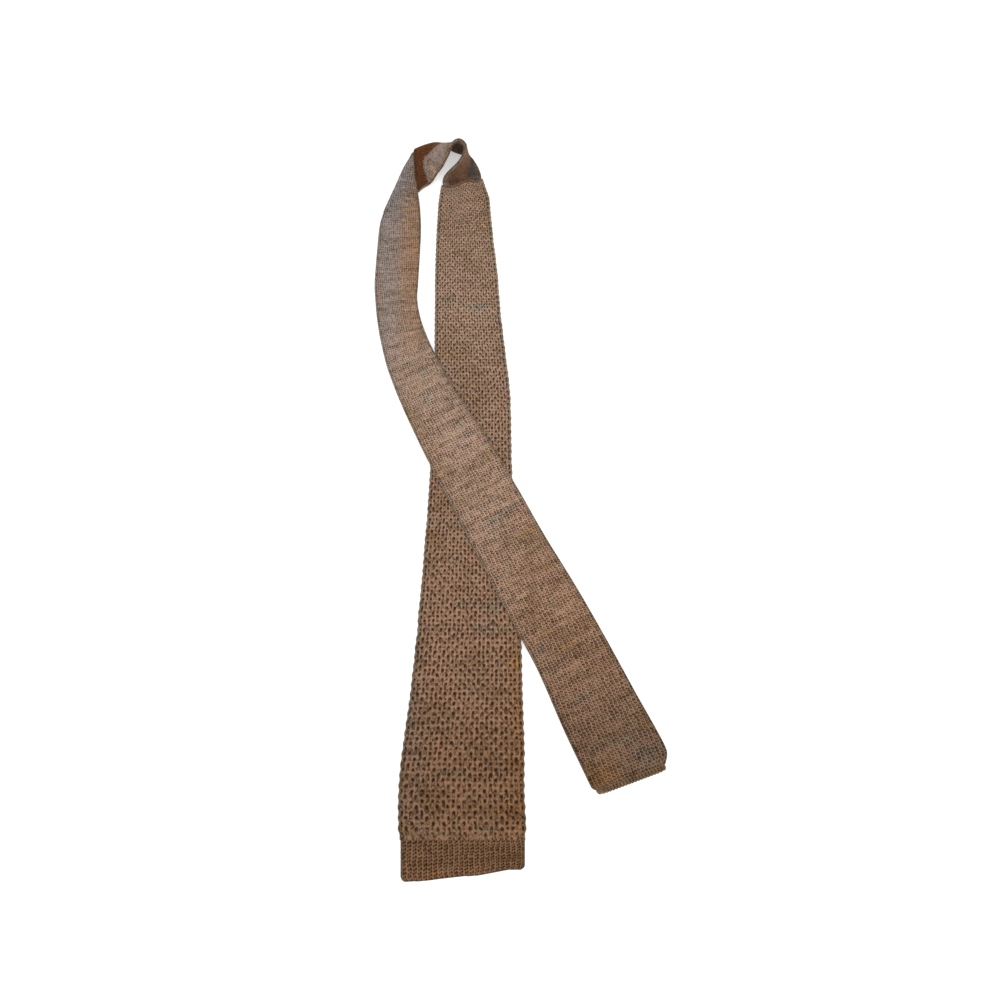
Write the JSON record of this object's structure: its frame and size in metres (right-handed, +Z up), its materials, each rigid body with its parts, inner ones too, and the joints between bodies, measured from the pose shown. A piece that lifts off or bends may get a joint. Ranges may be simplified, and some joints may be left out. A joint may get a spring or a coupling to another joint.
{
  "type": "knit tie",
  "caption": "Knit wool necktie laid out flat: a honeycomb-knit front blade with a plain hem, joined to a plain-knit neck band and tail that loops over and crosses the blade.",
  "frame": {"origin": "on the table, under the middle of the laid tie's bounding box", "axes": "+Z up from the table, +Y along the front blade from its hem towards the neck loop, +X towards the side the tail crosses to"},
  "size_m": [0.2576, 0.6432, 0.0365],
  "materials": {
    "honeycomb_knit": "heathered honeycomb wool knit, taupe brown",
    "hem_knit": "heathered plain wool knit, taupe brown",
    "plain_knit": "fine heathered plain wool knit, taupe with grey and ochre courses",
    "seam_yarn": "wool linking stitches",
    "end_seam_yarn": "wool bind-off chain"
  },
  "bodies": {
    "root": {"front_blade": "honeycomb_knit", "blade_hem": "hem_knit", "neck_tail_band": "plain_knit", "join_seam": "seam_yarn", "tail_end_seam": "end_seam_yarn"}
  },
  "joints": []
}
